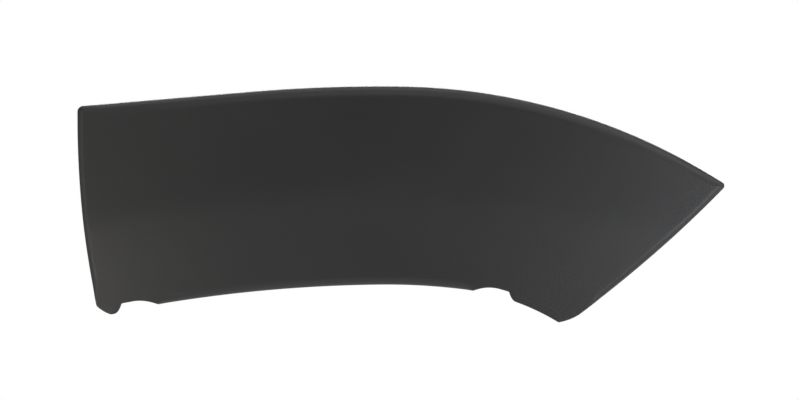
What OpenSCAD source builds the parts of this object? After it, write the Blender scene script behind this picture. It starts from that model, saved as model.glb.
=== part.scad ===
// Wheel arch trim: one moulded shell that covers the wing around a wheel opening.
// Seen from outside it runs along X with +Z up. Its outer face looks towards -Y and
// the vehicle body lies on the +Y side. The origin is the main locating pin, where
// its axis meets the body panel.

/* [Upper edge] */
// Left end of the upper edge, along X
upper_x = -253; // [-280:1:-230]
// Left end of the upper edge, above the origin
upper_z = 72.4; // [60:0.5:90]
// Slope of the upper edge at its left end, in degrees
upper_slope = 4.7; // [0:0.1:10]
// Length of the straight left stretch
upper_straight_l = 153; // [100:1:200]
// Radius of the middle stretch
upper_mid_r = 1319; // [1000:1:2000]
// Length of the middle stretch
upper_mid_l = 128.5; // [80:0.5:180]
// Radius of the stretch that falls to the tip
upper_tip_r = 526; // [450:1:650]
// Length of the stretch that falls to the tip
upper_tip_l = 293; // [260:0.5:330]

/* [Lower edge] */
// Left end of the lower edge, along X
lower_x = -223.4; // [-240:0.1:-200]
// Left end of the lower edge, above the origin
lower_z = -104.9; // [-120:0.1:-95]
// Slope of the lower edge at its left end, in degrees
lower_slope = 11.6; // [8:0.1:14]
// Radius of the long left stretch
lower_left_r = 1208; // [1000:1:1500]
// Length of the long left stretch
lower_left_l = 232.7; // [200:0.1:260]
// Radius of the stretch before the right notch
lower_mid_r = 522.5; // [400:0.5:700]
// Length of the stretch before the right notch
lower_mid_l = 71; // [50:1:90]
// Radius of the stretch under the tab
lower_tab_r = 204; // [160:1:300]
// Length of the stretch under the tab
lower_tab_l = 86.1; // [76:0.1:96]

/* [Ends] */
// Outward bow of the left end between its corners
left_bow = 4.4; // [1:0.1:10]
// Outward bow of the slanted right end between its corners
right_bow = 3.1; // [1:0.1:10]
// Width of the slanted cut under the foot, along X
foot_cut_x = 12.6; // [6:0.1:20]
// Height of the slanted cut under the foot
foot_cut_z = 7.4; // [4:0.1:14]
// Width of the slanted cut under the corner tab, along X
tab_cut_x = 17.6; // [10:0.1:26]
// Height of the slanted cut under the corner tab
tab_cut_z = 6.5; // [3:0.1:12]
// Outward bow of both slanted cuts
cut_bow = 0.9; // [0.2:0.1:2]
// Radius of the corner at the top left
corner_r = 5; // [3:0.5:7]
// Radius of the pointed tip
tip_r = 3.4; // [2:0.1:5]
// Radius of the corners of the foot
foot_r = 4; // [2:0.5:5]
// Radius of the lower corner of the tab
tab_r = 2.2; // [1.5:0.1:4]
// Radius where the tab runs into the right end
tab_end_r = 8; // [4:0.5:12]

/* [Notches in the lower edge] */
// Depth of both notches
notch_depth = 6.3; // [3:0.1:8]
// Width of the foot left of the first notch
foot_w = 2.6; // [2:0.1:8]
// How far the foot stands below the lower edge
foot_drop = 1.2; // [0:0.1:3]
// Length of the steep sides of the notches
notch_step_l = 8; // [4:0.5:10]
// Length of the sides that run out to the rolled lip
notch_run_l = 21; // [14:0.5:24]
// How far the rolled lip reaches into the notches
lip_reach = 5; // [2:0.5:10]
// Length of the floor of the left notch
left_floor_l = 9.5; // [4:0.5:20]
// Length of the floor of the right notch
right_floor_l = 8.5; // [4:0.5:20]
// Distance along the lower edge from the foot to the right notch
right_notch_at = 311.5; // [290:0.5:320]

/* [Section] */
// Wall of the moulding
wall = 2.6; // [2:0.1:3.2]
// Thickness of the walls where they meet the body panel
rim_t = 1.8; // [1.2:0.1:2.6]
// How far the ridge of the face stands out from the body panel
stand_off = 24; // [20:0.5:30]
// Radius of the sweep of the body side, seen from above
sweep_r = 1300; // [1000:10:2500]
// Slope of the face on both sides of its soft ridge, in degrees
flank_angle = 5.5; // [3:0.1:7]
// Radius that rounds the soft ridge
ridge_r = 100; // [50:5:200]
// Height of the top of the ridge line above the origin
ridge_z = -1.5; // [-10:0.5:10]
// Place of the top of the ridge line, along X
ridge_x = -10; // [-40:1:40]
// Radius of the ridge line, seen from outside
ridge_line_r = 1050; // [800:10:2000]

/* [Rolled edges] */
// Radius that rolls the face over into the upper wall
top_roll_r = 11; // [7:0.5:12]
// Radius that rolls the face over into the end walls
end_roll_r = 5.5; // [4.5:0.5:8]
// Radius that rolls the face over into the flange of the wheel opening
lip_roll_r = 7; // [5:0.5:9]
// Rounding of the plain edges at the foot, the tab and the notches
plain_edge_r = 1.2; // [0.6:0.1:1.6]
// How far the flange of the wheel opening reaches past the body panel
flange_reach = 14; // [10:0.5:20]
// Inward lean of the flange over its depth
flange_lean = 1.5; // [0:0.1:3]
// Outward draft of the other walls over their depth
wall_draft = 0.3; // [0:0.1:0.6]
// Length over which a wall or the flange fades into a plain edge
fade_l = 12; // [8:0.5:14]

/* [Clip towers] */
// Number of clip towers below the upper edge
tower_count = 5; // [2:1:7]
// Distance of the towers from the upper edge
tower_inset = 30; // [24:1:40]
// Distance of the outer towers from the ends of the upper edge
tower_margin = 48; // [40:1:80]
// Width of a tower along the band
tower_w = 20; // [16:0.5:26]
// Depth of a tower across the band
tower_d = 18; // [14:0.5:24]
// Wall of a tower
tower_wall = 2; // [1.2:0.1:2.6]
// How far the side walls of a tower run past its third wall
tower_step = 0.6; // [0.4:0.1:2]
// Thickness of the plate that holds the clip
plate_t = 2; // [1.5:0.1:3]
// How far the plate stands over the walls of the tower
plate_lip = 0.5; // [0.2:0.1:1]
// Gap between a clip plate and the body panel
clip_gap = 1.5; // [1:0.1:3]
// Diameter of the seat of the clip
clip_hole_d = 8; // [6:0.1:9]
// Width of the neck that the clip snaps past
clip_neck_w = 5.2; // [4:0.1:5.5]
// Width of the mouth where the clip slides in
clip_mouth_w = 9; // [6:0.1:12]

/* [Locating pins] */
// Distance of the second pin left of the main pin
pin_spacing = 205; // [150:1:215]
// Diameter of a pin
pin_d = 6; // [4:0.1:8]
// How far a pin reaches past the body panel
pin_reach = 9; // [5:0.5:15]
// Length of the cone at the end of a pin
pin_cone_l = 2; // [1:0.1:3]
// Diameter of the boss that carries a pin
boss_d = 10; // [9:0.5:14]
// Gap between the shoulder of a boss and the body panel
boss_gap = 0.5; // [0.2:0.1:1.5]
// Length of the fins around a boss
fin_l = 7; // [4:0.5:10]

/* [Screw holes in the flange] */
// Diameter of the holes
screw_d = 5.5; // [4:0.1:7]
// Number of holes
screw_count = 4; // [2:1:6]
// Distance of the outer holes from the notches
screw_margin = 22; // [21:1:40]
// Distance of the holes past the body panel
screw_out = 5; // [3:0.1:6]
// Diameter of the pads that back the holes
pad_d = 13; // [10:0.5:15]
// How far the pads stand up from the flange
pad_h = 1.2; // [0.5:0.1:2]

/* [Ribs] */
// Thickness of ribs, fins and gussets
rib_t = 1.4; // [1:0.1:2]
// Height of the ribs across the band above the inner face
rib_h = 4; // [2:0.5:8]
// Distance of the gussets from the screw hole that they flank
gusset_at = 14; // [10:0.5:14]
// Reach of a gusset up the inner face
gusset_l = 16; // [12:0.5:24]
// Reach of a gusset along the flange, past the body panel
gusset_out = 2; // [0:0.5:5]

/* [Hidden] */
$fn = 48;
// A stretch with this radius is straight
straight_r = 100000;
// The edges, in clockwise order as seen from outside
TOP = 0;
RIGHT = 1;
TAB = 2;
LOW = 3;
FOOT = 4;
LEFT = 5;
// Numbers of steps: along the ends and where their walls fade, the cuts, the corners and the rolls
end_steps = 9;
fade_steps = 3;
cut_steps = 2;
corner_steps = 4;
bend_steps = 2;
outer_steps = 5;
inner_steps = 3;
// Steps of the lower edge, stretch by stretch from the foot to the tab
foot_steps = 1;
side_steps = 4;
floor_steps = 2;
lip_steps = 2;
run_steps = 16;
tab_steps = 4;
// Smallest radius that a corner of the face keeps inside the rolled edges
inner_corner_r = 1.5;
// Smallest radius inside a rolled edge
inner_roll_r = 0.8;
// Least distance of the net of the face from rolls and notches, and its distance from plain edges
face_margin = 1.2;
plain_inset = 5.5;
// Lengths that the wide corners of the face at foot and tab take from the lower edge and the ends
low_cut = 2.5;
end_cut = 6;
// Radius of the rolled edge where two walls meet
corner_roll_r = 6;
// Length over which the roll at a corner grows to the roll of its edge
roll_blend_l = 30;
// Overlap of parts that are fused
fuse = 0.6;
// Gap between a cross rib and the rolled edges
rib_gap = 2;
// Steps of a cross rib and of a gusset, and halvings that find where a rib meets the lower edge
rib_steps = 10;
gusset_steps = 4;
meeting_steps = 20;

function mix(a, b, t) = a + (b - a) * t;
function smooth(t) = let (u = min(max(t, 0), 1)) u * u * (3 - 2 * u);
function soft_start(t) = pow(min(max(t, 0), 1), 2);
function soft_end(t) = 1 - soft_start(1 - t);
function sum(v, n) = n == 0 ? 0 : v[n - 1] + sum(v, n - 1);
function unit(h) = [cos(h), sin(h)];
// Direction square to a heading, on its right
function inward(h) = [sin(h), -cos(h)];
function heading(p, q) = atan2(q.y - p.y, q.x - p.x);

// Point and heading after s along an arc that starts at p with heading h and bends right
function along_arc(p, h, r, s) =
    let (turn = s / r * 180 / PI)
    [p + r * (inward(h) - inward(h - turn)), h - turn];

// Point and heading after s along an edge, given as [start, heading, [[radius, length], ...]]
function along(edge, s, i = 0) =
    let (arc = edge[2][i])
    i == len(edge[2]) - 1 || s <= arc[1]
        ? along_arc(edge[0], edge[1], arc[0], s)
        : let (next = along_arc(edge[0], edge[1], arc[0], arc[1]))
          along([next[0], next[1], edge[2]], s - arc[1], i + 1);

function length_of(edge) = sum([for (arc = edge[2]) arc[1]], len(edge[2]));

// The same edge walked from its other end
function reversed(edge) =
    let (last = along(edge, length_of(edge)), n = len(edge[2]))
    [last[0], last[1] + 180, [for (i = [n - 1 : -1 : 0]) [-edge[2][i][0], edge[2][i][1]]]];

// One arc from p to q that bows out to the left by the given height
function bow(p, q, height) =
    let (chord = norm(q - p),
         r = (chord * chord / 4 + height * height) / (2 * height),
         half = asin(chord / (2 * r)))
    [p, heading(p, q) + half, [[r, 2 * half * PI / 180 * r]]];

// The upper and lower edges from left to right, and the six edges in clockwise order
upper = [[upper_x, upper_z], upper_slope,
         [[straight_r, upper_straight_l], [upper_mid_r, upper_mid_l], [upper_tip_r, upper_tip_l]]];
lower = [[lower_x, lower_z], lower_slope,
         [[lower_left_r, lower_left_l], [lower_mid_r, lower_mid_l], [lower_tab_r, lower_tab_l]]];
tip = along(upper, length_of(upper))[0];
tab_low = along(lower, length_of(lower))[0];
tab_high = tab_low + [tab_cut_x, tab_cut_z];
foot_high = [lower_x - foot_cut_x, lower_z - foot_drop + foot_cut_z];
foot_low = [lower_x, lower_z - foot_drop];
edges = [upper,
         bow(tip, tab_high, right_bow),
         bow(tab_high, tab_low, cut_bow),
         reversed(lower),
         bow(foot_low, foot_high, cut_bow),
         bow(foot_high, upper[0], left_bow)];
lengths = [for (edge = edges) length_of(edge)];
// Radius of the corner at the start of each edge, and the steps that draw it
corner_radii = [corner_r, tip_r, tab_end_r, tab_r, foot_r, foot_r];
corner_splits = [corner_steps, corner_steps, bend_steps, corner_steps, corner_steps, bend_steps];

// How far the lower edge is drawn in, at a distance from the foot
left_dip_to = foot_w + notch_step_l + left_floor_l + notch_run_l;
right_dip_to = right_notch_at + notch_run_l + right_floor_l + notch_step_l;
function dip(s) =
    notch_depth * soft_start((s - foot_w) / notch_step_l) * soft_end((left_dip_to - s) / notch_run_l)
    + notch_depth * soft_end((s - right_notch_at) / notch_run_l)
        * soft_start((right_dip_to - s) / notch_step_l)
    - foot_drop * (1 - soft_start((s - foot_w) / notch_step_l));

// Share of the rolled lip at a distance from the foot: whole between the notches
function lip(s) = smooth((s - left_dip_to + lip_reach) / fade_l)
    * smooth((right_notch_at + lip_reach - s) / fade_l);

// Face of the trim: the sweep of the body side, the stand-off and the soft ridge
function sweep_y(x) = sweep_r - sqrt(sweep_r * sweep_r - x * x);
function ridge_line_z(x) = ridge_z - ridge_line_r + sqrt(pow(ridge_line_r, 2) - pow(x - ridge_x, 2));
function ridge_y(d) = let (b = ridge_r * pow(tan(flank_angle), 2))
    sqrt(b * b + pow(tan(flank_angle) * d, 2)) - b;
function face_y(p) = sweep_y(p.x) - stand_off + ridge_y(p.y - ridge_line_z(p.x));

// Inset of the smooth ring that the net of the face hangs in, clear of every roll and notch
function face_inset(k, s, span) =
    k == LOW ? max(lip_roll_r, notch_depth + wall) + face_margin
    : mix(plain_inset, max(top_roll_r, end_roll_r) + face_margin,
        k == RIGHT ? smooth((span - s) / roll_blend_l) : k == LEFT ? smooth(s / roll_blend_l) : 1);

// State of an edge at s: share of its wall, roll radius, lean, reach and thickness of the wall
// end, and inset of the face
function grown(r, s, span) =
    mix(corner_roll_r, r, smooth(s / roll_blend_l) * smooth((span - s) / roll_blend_l));
function state(k, s) =
    let (span = lengths[k],
         share = k == TOP ? 1
             : k == RIGHT ? smooth((span - s - fade_l) / fade_l)
             : k == LEFT ? smooth((s - fade_l / 2) / fade_l)
             : k == LOW ? lip(span - s) : 0,
         roll = k == TOP ? grown(top_roll_r, s, span)
             : k == RIGHT ? mix(corner_roll_r, end_roll_r, smooth(s / roll_blend_l))
             : k == LEFT ? mix(corner_roll_r, end_roll_r, smooth((span - s) / roll_blend_l))
             : lip_roll_r)
    concat([share, mix(plain_edge_r, roll, share)],
        k == LOW ? [flange_lean, flange_reach, wall] : [-wall_draft, 0, rim_t], face_inset(k, s, span));

// A layer is [0 outside or 1 inside, angle round the roll, kind]
ROLL = 0;
WALL_END = 1;
FACE = 2;
outer_layers = concat([[0, 0, WALL_END]], [for (i = [0 : outer_steps]) [0, 90 * i / outer_steps, ROLL]],
    [[0, 90, FACE]]);
inner_layers = concat([[1, 0, WALL_END]], [for (i = [0 : inner_steps]) [1, 90 * i / inner_steps, ROLL]],
    [[1, 90, FACE]]);
layers = concat(outer_layers, inner_layers);
function roll_of(layer, st) = layer[0] == 0 ? st[1] : max(st[1] - wall, inner_roll_r);
function inset_of(layer, st) =
    layer[2] == FACE ? st[5]
    : layer[2] == WALL_END ? st[0] * st[2] + layer[0] * mix(wall / 3, st[4], st[0])
    : layer[0] * mix(wall * 2 / 3, wall, st[0]) + roll_of(layer, st) * (1 - cos(layer[1]));
function depth_of(layer, st, p) = layer[2] == WALL_END
    ? mix(face_y(p) + wall, sweep_y(p.x) + st[3], st[0])
    : face_y(p) + layer[0] * wall + (layer[0] == 0 ? 1 : st[0]) * roll_of(layer, st) * (1 - sin(layer[1]));

// Place in the outside view of a point of a layer, at s along edge k
function place(layer, k, s) =
    let (at = along(edges[k], s),
         dip_in = k == LOW && layer[2] != FACE ? dip(lengths[k] - s) : 0)
    at[0] + inward(at[1]) * (inset_of(layer, state(k, s)) + dip_in);
function raised(layer, st, p) = [p.x, depth_of(layer, st, p), p.y];

// Length that the corner at the start of edge k takes from both its edges
function turn_at(k) =
    let (before = edges[(k + 5) % 6], turn = along(before, length_of(before))[1] - edges[k][1])
    turn - 360 * round(turn / 360);
function corner_cut(layer, k) =
    layer[2] == FACE && (k == LOW || k == FOOT) ? low_cut
    : layer[2] == FACE && (k == TAB || k == LEFT) ? end_cut
    : max(corner_radii[k], inset_of(layer, state(k, 0)) + inner_corner_r) * tan(turn_at(k) / 2);
function first_s(layer, k) = corner_cut(layer, k);
function last_s(layer, k) = lengths[k] - corner_cut(layer, (k + 1) % 6);

// Points of a layer along edge k, at the given shares of what its corners leave
function edge_points(layer, k, shares) = [for (t = shares)
    let (s = mix(first_s(layer, k), last_s(layer, k), t)) raised(layer, state(k, s), place(layer, k, s))];

// Points between edges j and k: a cubic curve that leaves and meets them smoothly, in n steps
function corner_points(layer, j, k, n) =
    let (s1 = last_s(layer, j), s2 = first_s(layer, k),
         p1 = place(layer, j, s1), p2 = place(layer, k, s2),
         h1 = along(edges[j], s1)[1], h2 = along(edges[k], s2)[1],
         turn = h1 - h2 - 360 * round((h1 - h2) / 360),
         arm = norm(p2 - p1) / (2 * sin(turn / 2)) * 4 / 3 * tan(turn / 4))
    [for (i = [1 : n - 1]) let (t = i / n, w = 1 - t)
        raised(layer, state(k, 0), w * w * w * p1 + 3 * w * w * t * (p1 + arm * unit(h1))
            + 3 * w * t * t * (p2 - arm * unit(h2)) + t * t * t * p2)];

// A slanted cut with the corners at both its ends. On the face it is one wide round corner.
cut_span = bend_steps + cut_steps + corner_steps;
function cut_points(layer, j, cut, k) =
    layer[2] == FACE ? corner_points(layer, j, k, cut_span)
    : concat(corner_points(layer, j, cut, corner_splits[cut]),
        edge_points(layer, cut, even_shares(cut_steps)),
        corner_points(layer, cut, k, corner_splits[k]));

// Side of a ring as seen from outside, n steps from an index, and the share at which its points lie
function side(ring, n, from, step) =
    [for (i = [0 : n]) let (q = ring[(from + i * step + len(ring)) % len(ring)]) [q.x, q.z]];
function shares_of(points) =
    let (n = len(points) - 1,
         run = [for (i = 0, s = 0; i <= n;
             s = s + (i < n ? norm(points[i + 1] - points[i]) : 0), i = i + 1) s])
    [for (s = run) s / run[n]];
function even_shares(n) = [for (i = [0 : n]) i / n];

// Shares along the lower edge from tab to foot, close together at the notches
stretches = [[length_of(lower) - right_dip_to, tab_steps], [notch_step_l, side_steps],
             [right_floor_l, floor_steps], [notch_run_l - lip_reach, side_steps], [lip_reach, lip_steps],
             [fade_l, fade_steps], [right_notch_at - left_dip_to - 2 * fade_l, run_steps],
             [fade_l, fade_steps], [lip_reach, lip_steps], [notch_run_l - lip_reach, side_steps],
             [left_floor_l, floor_steps], [notch_step_l, side_steps], [foot_w, foot_steps]];
stretch_l = [for (part = stretches) part[0]];
low_shares = concat([0], [for (i = [0 : len(stretches) - 1], j = [1 : stretches[i][1]])
    (sum(stretch_l, i) + stretch_l[i] * j / stretches[i][1]) / length_of(lower)]);
// Shares along the ends, closer together where the walls fade out
fade_share = 2 * fade_l / lengths[RIGHT];
right_shares = concat([for (i = [0 : end_steps - 1]) (1 - fade_share) * i / end_steps],
    [for (i = [0 : fade_steps]) 1 - fade_share * (1 - i / fade_steps)]);
left_shares = [for (i = [len(right_shares) - 1 : -1 : 0]) 1 - right_shares[i]];

// The face hangs in a net between the upper, right, lower and left sides of its ring. The
// corners of the net lie in the middle of the upper corners and of the slanted cuts.
across = len(low_shares) - 1 + 2 * corner_steps + cut_steps;
down = end_steps + fade_steps + bend_steps + corner_steps / 2 + cut_steps / 2;
around = 2 * (across + down);

// The upper edge takes its shares from the lower side of the face, so that the net runs square
low_side = let (layer = [0, 90, FACE]) concat(
    cut_points(layer, RIGHT, TAB, LOW), edge_points(layer, LOW, low_shares),
    cut_points(layer, LOW, FOOT, LEFT));
from_mid = side(low_side, across, bend_steps - 1 + cut_steps / 2, 1);
top_shares = shares_of([for (i = [across - corner_steps / 2 : -1 : corner_steps / 2]) from_mid[i]]);

// A layer all the way round, starting in the middle of the corner at the top left
function ring(layer) =
    let (first = corner_points(layer, LEFT, TOP, corner_steps), half = corner_steps / 2)
    concat([for (i = [half - 1 : corner_steps - 2]) first[i]],
        edge_points(layer, TOP, top_shares),
        corner_points(layer, TOP, RIGHT, corner_steps),
        edge_points(layer, RIGHT, right_shares),
        cut_points(layer, RIGHT, TAB, LOW),
        edge_points(layer, LOW, low_shares),
        cut_points(layer, LOW, FOOT, LEFT),
        edge_points(layer, LEFT, left_shares),
        [for (i = [0 : 1 : half - 2]) first[i]]);

function net_points(ring, lift) =
    let (top = side(ring, across, 0, 1), low = side(ring, across, 2 * across + down, -1),
         left = side(ring, down, 0, -1), right = side(ring, down, across, 1),
         us = (shares_of(top) + shares_of(low)) / 2, vs = (shares_of(left) + shares_of(right)) / 2)
    [for (j = [1 : down - 1], i = [1 : across - 1])
        let (u = us[i], v = vs[j],
             corners = mix(mix(top[0], top[across], u), mix(low[0], low[across], u), v),
             p = mix(top[i], low[i], v) + mix(left[j], right[j], u) - corners)
        [p.x, face_y(p) + lift, p.y]];
function net_index(rim_from, net_from, i, j) =
    j == 0 ? rim_from + i
    : i == across ? rim_from + across + j
    : j == down ? rim_from + 2 * across + down - i
    : i == 0 ? rim_from + (around - j) % around
    : net_from + (j - 1) * (across - 1) + i - 1;

rings = [for (layer = layers) ring(layer)];
outer_last = len(outer_layers) - 1;
inner_last = len(layers) - 1;
outer_net = len(layers) * around;
inner_net = outer_net + (across - 1) * (down - 1);
shell_points = concat([for (r = rings) each r], net_points(rings[outer_last], 0),
    net_points(rings[inner_last], wall));

// Strip of faces between two rings, and the faces of a net, turned over on the inside
function strip(a, b) = [for (i = [0 : around - 1]) let (j = (i + 1) % around)
    each [[a + i, a + j, b + j], [a + i, b + j, b + i]]];
function net(rim_from, net_from, flip) = [for (j = [0 : down - 1], i = [0 : across - 1])
    let (a = net_index(rim_from, net_from, i, j), b = net_index(rim_from, net_from, i + 1, j),
         c = net_index(rim_from, net_from, i + 1, j + 1), d = net_index(rim_from, net_from, i, j + 1))
    each (flip ? [[a, c, b], [a, d, c]] : [[a, b, c], [a, c, d]])];
shell_faces = concat(
    [for (k = [0 : outer_last - 1]) each strip(k * around, (k + 1) * around)],
    [for (k = [outer_last + 1 : inner_last - 1]) each strip((k + 1) * around, k * around)],
    strip((outer_last + 1) * around, 0),
    net(outer_last * around, outer_net, false),
    net(inner_last * around, inner_net, true));

// The moulded shell: face, rolled edges, walls and the flange of the wheel opening
module shell() {
    polyhedron(points = shell_points, faces = shell_faces);
}

// Puts what follows at p in the outside view, with X along heading h and +Y inboard
module at(p, h = 0, y = 0) {
    translate([p.x, y, p.y]) rotate([0, -h, 0]) children();
}

// Rise of the rolled lip above the face, at a distance from the lower edge
function lip_rise(d) = d >= lip_roll_r ? 0 : lip_roll_r - sqrt(pow(lip_roll_r, 2) - pow(lip_roll_r - d, 2));

// Upright web that grows out of the face from p along heading h, up to the given tops.
// A web that starts in the rolled lip gives its distance from the lower edge.
module web(p, h, span, tops, edge_d = lip_roll_r, thick = rib_t) {
    n = len(tops) - 1;
    feet = [for (i = [0 : n])
        face_y(p + unit(h) * span * i / n) + wall / 2 + lip_rise(edge_d + span * i / n)];
    at(p, h) linear_extrude(thick, center = true)
        polygon(concat([for (i = [0 : n]) [span * i / n, feet[i]]],
            [for (i = [n : -1 : 0]) [span * i / n, tops[i]]]));
}

// Clip tower: three walls and a plate with a keyhole that opens towards the wheel
module clip_tower(p, h) {
    seat_y = sweep_y(p.x) - clip_gap;
    under_y = seat_y - plate_t / 2;
    side = unit(h);
    up = -inward(h);
    reach = (tower_w - tower_wall) / 2;
    for (x = [-reach, reach])
        web(p + side * x - up * tower_d / 2, h + 90, tower_d, [under_y, under_y], thick = tower_wall);
    web(p + up * ((tower_d - tower_wall) / 2 - tower_step) - side * reach, h, 2 * reach,
        [under_y, under_y], thick = tower_wall);
    difference() {
        at(p, h, seat_y - plate_t)
            translate([-tower_w / 2 - plate_lip, 0, -tower_d / 2 - plate_lip])
            cube([tower_w + 2 * plate_lip, plate_t, tower_d + 2 * plate_lip]);
        clip_keyhole(p, h, seat_y);
    }
}

// Seat, neck and mouth of the keyhole in a clip plate
module clip_keyhole(p, h, seat_y) {
    mouth_z = -tower_d / 2 - plate_lip - 1;
    neck_z = mouth_z + tower_d / 4;
    at(p, h, seat_y - plate_t / 2) rotate([90, 0, 0]) {
        cylinder(d = clip_hole_d, h = plate_t + 2, center = true);
        linear_extrude(plate_t + 2, center = true)
            polygon([[-clip_neck_w / 2, 0], [-clip_neck_w / 2, neck_z], [-clip_mouth_w / 2, mouth_z],
                     [clip_mouth_w / 2, mouth_z], [clip_neck_w / 2, neck_z], [clip_neck_w / 2, 0]]);
    }
}

// Locating pin on a boss with four fins
module locating_pin(p) {
    foot_y = face_y(p) + wall / 2;
    shoulder_y = sweep_y(p.x) - boss_gap;
    tip_y = sweep_y(p.x) + pin_reach;
    at(p, 0, foot_y) rotate([-90, 0, 0]) cylinder(d = boss_d, h = shoulder_y - foot_y);
    at(p, 0, shoulder_y - fuse) rotate([-90, 0, 0])
        cylinder(d = pin_d, h = tip_y - pin_cone_l - shoulder_y + fuse);
    at(p, 0, tip_y - pin_cone_l) rotate([-90, 0, 0])
        cylinder(d1 = pin_d, d2 = pin_d - pin_cone_l, h = pin_cone_l);
    for (h = [45 : 90 : 315])
        web(p, h, boss_d / 2 + fin_l, [shoulder_y - fuse, shoulder_y - fuse, foot_y + rib_h]);
}

// Places in the flange: the distances of the screw holes along the lower edge
screw_at = [for (i = [0 : screw_count - 1])
    mix(left_dip_to + screw_margin, right_notch_at - screw_margin, i / (screw_count - 1))];

// Puts what follows on the outside of the flange at a screw hole, with Z square to the flange
module on_flange(s) {
    spot = along(lower, s);
    p = spot[0];
    start_y = face_y(p) + lip_roll_r;
    span_y = sweep_y(p.x) + flange_reach - start_y;
    hole_y = sweep_y(p.x) + screw_out;
    lean = flange_lean * (hole_y - start_y) / span_y;
    at(p - inward(spot[1]) * lean, spot[1], hole_y) rotate([atan(flange_lean / span_y), 0, 0]) children();
}

// Gussets that hold the flange square to the face, one on each side of a screw hole
module flange_gussets(s) {
    for (d = [-gusset_at, gusset_at]) {
        spot = along(lower, s + d);
        from = spot[0] - inward(spot[1]) * wall / 2;
        to = from - inward(spot[1]) * gusset_l;
        high = sweep_y(from.x) + gusset_out;
        low = face_y(to) + wall + fuse;
        web(from, spot[1] + 90, gusset_l, [for (i = [0 : gusset_steps]) mix(high, low, i / gusset_steps)],
            wall / 2);
    }
}

// Distance along the lower edge at which the line from p in direction d meets it
function meeting(p, d, from, to, n) =
    let (mid = (from + to) / 2, q = along(lower, mid)[0] - p)
    n == 0 ? mid
    : q.x * d.y > q.y * d.x ? meeting(p, d, mid, to, n - 1) : meeting(p, d, from, mid, n - 1);

// Stiffening rib across the band, square to the upper edge at a distance along it
module cross_rib(s) {
    high = along(upper, s);
    down_h = high[1] - 90;
    low = along(lower, meeting(high[0], unit(down_h), 0, length_of(lower), meeting_steps))[0];
    from = high[0] + unit(down_h) * (top_roll_r + rib_gap);
    span = norm(low - from) - lip_roll_r - rib_gap;
    web(from, down_h, span, [for (i = [0 : rib_steps])
        face_y(from + unit(down_h) * span * i / rib_steps) + wall
        + (i == 0 || i == rib_steps ? -fuse : rib_h)]);
}

tower_at = [for (i = [0 : tower_count - 1])
    mix(tower_margin, length_of(upper) - tower_margin, i / (tower_count - 1))];

module arch_trim() {
    color("dimgray") difference() {
        union() {
            shell();
            for (s = tower_at) {
                spot = along(upper, s);
                clip_tower(spot[0] + inward(spot[1]) * tower_inset, spot[1]);
            }
            for (i = [1 : tower_count - 1])
                cross_rib((tower_at[i - 1] + tower_at[i]) / 2);
            locating_pin([0, 0]);
            locating_pin([-pin_spacing, 0]);
            for (s = screw_at) {
                on_flange(s) translate([0, 0, wall / 2]) cylinder(d = pad_d, h = wall / 2 + pad_h);
                flange_gussets(s);
            }
        }
        for (s = screw_at)
            on_flange(s) cylinder(d = screw_d, h = 4 * wall, center = true);
    }
}

arch_trim();
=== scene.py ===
import math

import bmesh
import bpy
import numpy as np
from mathutils import Euler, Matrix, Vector


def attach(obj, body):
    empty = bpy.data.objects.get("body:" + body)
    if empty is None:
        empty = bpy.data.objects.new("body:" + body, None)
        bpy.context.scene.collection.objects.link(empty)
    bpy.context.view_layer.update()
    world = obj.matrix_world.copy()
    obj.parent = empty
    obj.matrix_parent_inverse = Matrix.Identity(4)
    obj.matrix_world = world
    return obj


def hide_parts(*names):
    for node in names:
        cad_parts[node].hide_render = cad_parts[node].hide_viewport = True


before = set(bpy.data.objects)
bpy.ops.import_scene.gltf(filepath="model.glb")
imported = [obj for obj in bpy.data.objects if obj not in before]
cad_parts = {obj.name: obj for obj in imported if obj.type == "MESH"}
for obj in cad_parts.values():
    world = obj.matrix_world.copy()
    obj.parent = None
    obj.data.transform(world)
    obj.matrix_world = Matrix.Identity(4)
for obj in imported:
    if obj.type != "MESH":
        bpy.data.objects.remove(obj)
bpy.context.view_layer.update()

MM_PER_METRE = 1000
# The moulding's own sizes, in millimetres and degrees, as the part's source gives them.
WALL, RIM_T = 2.6, 1.8
FACE = {
    "Stand-off": 24.0,
    "Sweep radius": 1300.0,
    "Flank angle": 5.5,
    "Ridge rounding": 100.0,
    "Ridge top": -1.5,
    "Ridge middle": -10.0,
    "Ridge line radius": 1050.0,
}
TOP_ROLL, END_ROLL, LIP_ROLL, CORNER_ROLL, PLAIN_EDGE = 11.0, 5.5, 7.0, 6.0, 1.2
FLANGE_REACH, FLANGE_LEAN, WALL_DRAFT, FADE, ROLL_BLEND = 14.0, 1.5, 0.3, 12.0, 30.0
NOTCH, FOOT_W, FOOT_DROP, STEP_L, RUN_L, LIP_REACH = 6.3, 2.6, 1.2, 8.0, 21.0, 5.0
LEFT_FLOOR, RIGHT_FLOOR, RIGHT_NOTCH_AT = 9.5, 8.5, 311.5
LEFT_DIP_TO = FOOT_W + STEP_L + LEFT_FLOOR + RUN_L
RIGHT_DIP_TO = RIGHT_NOTCH_AT + RUN_L + RIGHT_FLOOR + STEP_L
RIB_T, RIB_H, RIB_GAP, FUSE = 1.4, 4.0, 2.0, 0.6
TOWER_COUNT, TOWER_INSET, TOWER_MARGIN = 5, 30.0, 48.0
TOWER_W, TOWER_D, TOWER_WALL, TOWER_STEP, PLATE_T, PLATE_LIP = 20.0, 18.0, 2.0, 0.6, 2.0, 0.5
CLIP_GAP, CLIP_HOLE, CLIP_NECK, CLIP_MOUTH = 1.5, 8.0, 5.2, 9.0
PIN_D, PIN_REACH, PIN_CONE, BOSS_D, BOSS_GAP, FIN_L = 6.0, 9.0, 2.0, 10.0, 0.5, 7.0
PIN_PLACES = ((0.0, 0.0), (-205.0, 0.0))
SCREW_COUNT, SCREW_MARGIN = 4, 22.0
SCREW_D, SCREW_OUT, PAD_D, PAD_H = 5.5, 5.0, 13.0, 1.2
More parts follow.
